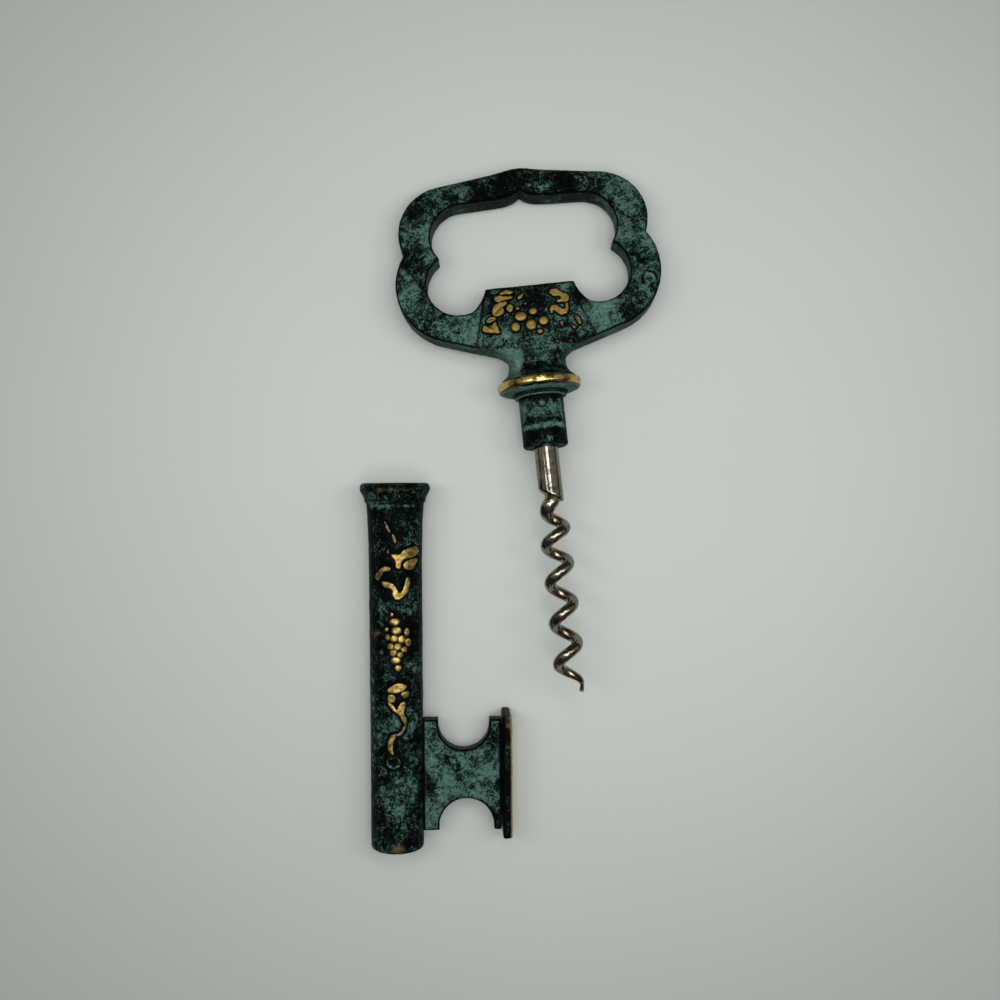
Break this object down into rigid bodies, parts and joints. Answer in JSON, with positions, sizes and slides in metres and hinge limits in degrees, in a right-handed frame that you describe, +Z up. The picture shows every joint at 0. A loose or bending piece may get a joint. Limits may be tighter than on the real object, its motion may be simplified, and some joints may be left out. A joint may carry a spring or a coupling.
{
  "type": "key corkscrew",
  "caption": "Key-shaped direct-pull corkscrew: a cast bow handle with a cap lifter, spigot and worm, and the tubular sheath with a key bit that covers the worm.",
  "frame": {"origin": "centre of the underside of the whole layout's box, on the table it lies on", "axes": "+X to the right across both pieces, +Y along them towards the bow, +Z up off the table"},
  "size_m": [0.0833, 0.1892, 0.024],
  "materials": {
    "patinated_bronze": "cast brass gone near black, with mottled blue-green verdigris",
    "worn_brass": "raised brass rubbed bright on its high places, dark in its recesses",
    "nickel_steel": "bright nickel-plated steel wire, lightly tarnished"
  },
  "bodies": {
    "handle": {"bow_handle": "patinated_bronze", "spigot": "patinated_bronze", "worm_pin": "patinated_bronze", "worm": "nickel_steel"},
    "collar": {"sheath_collar": "patinated_bronze"},
    "sheath": {"sheath_tube": "patinated_bronze", "sheath_end_plug": "patinated_bronze", "key_bit": "patinated_bronze", "bit_face_plate": "worn_brass"}
  },
  "joints": [
    {"name": "sheath_slide", "type": "slide", "parent": "handle", "child": "collar", "axis": [-0.0061, 0.9997, 0.0242], "range_m": [-0.06, 0.0233]},
    {"name": "sheath_turn", "type": "hinge", "parent": "collar", "child": "sheath", "pos_m": [-0.032, 0.0069, 0.00974], "axis": [-0.0061, 0.9997, 0.0242], "continuous": true}
  ]
}
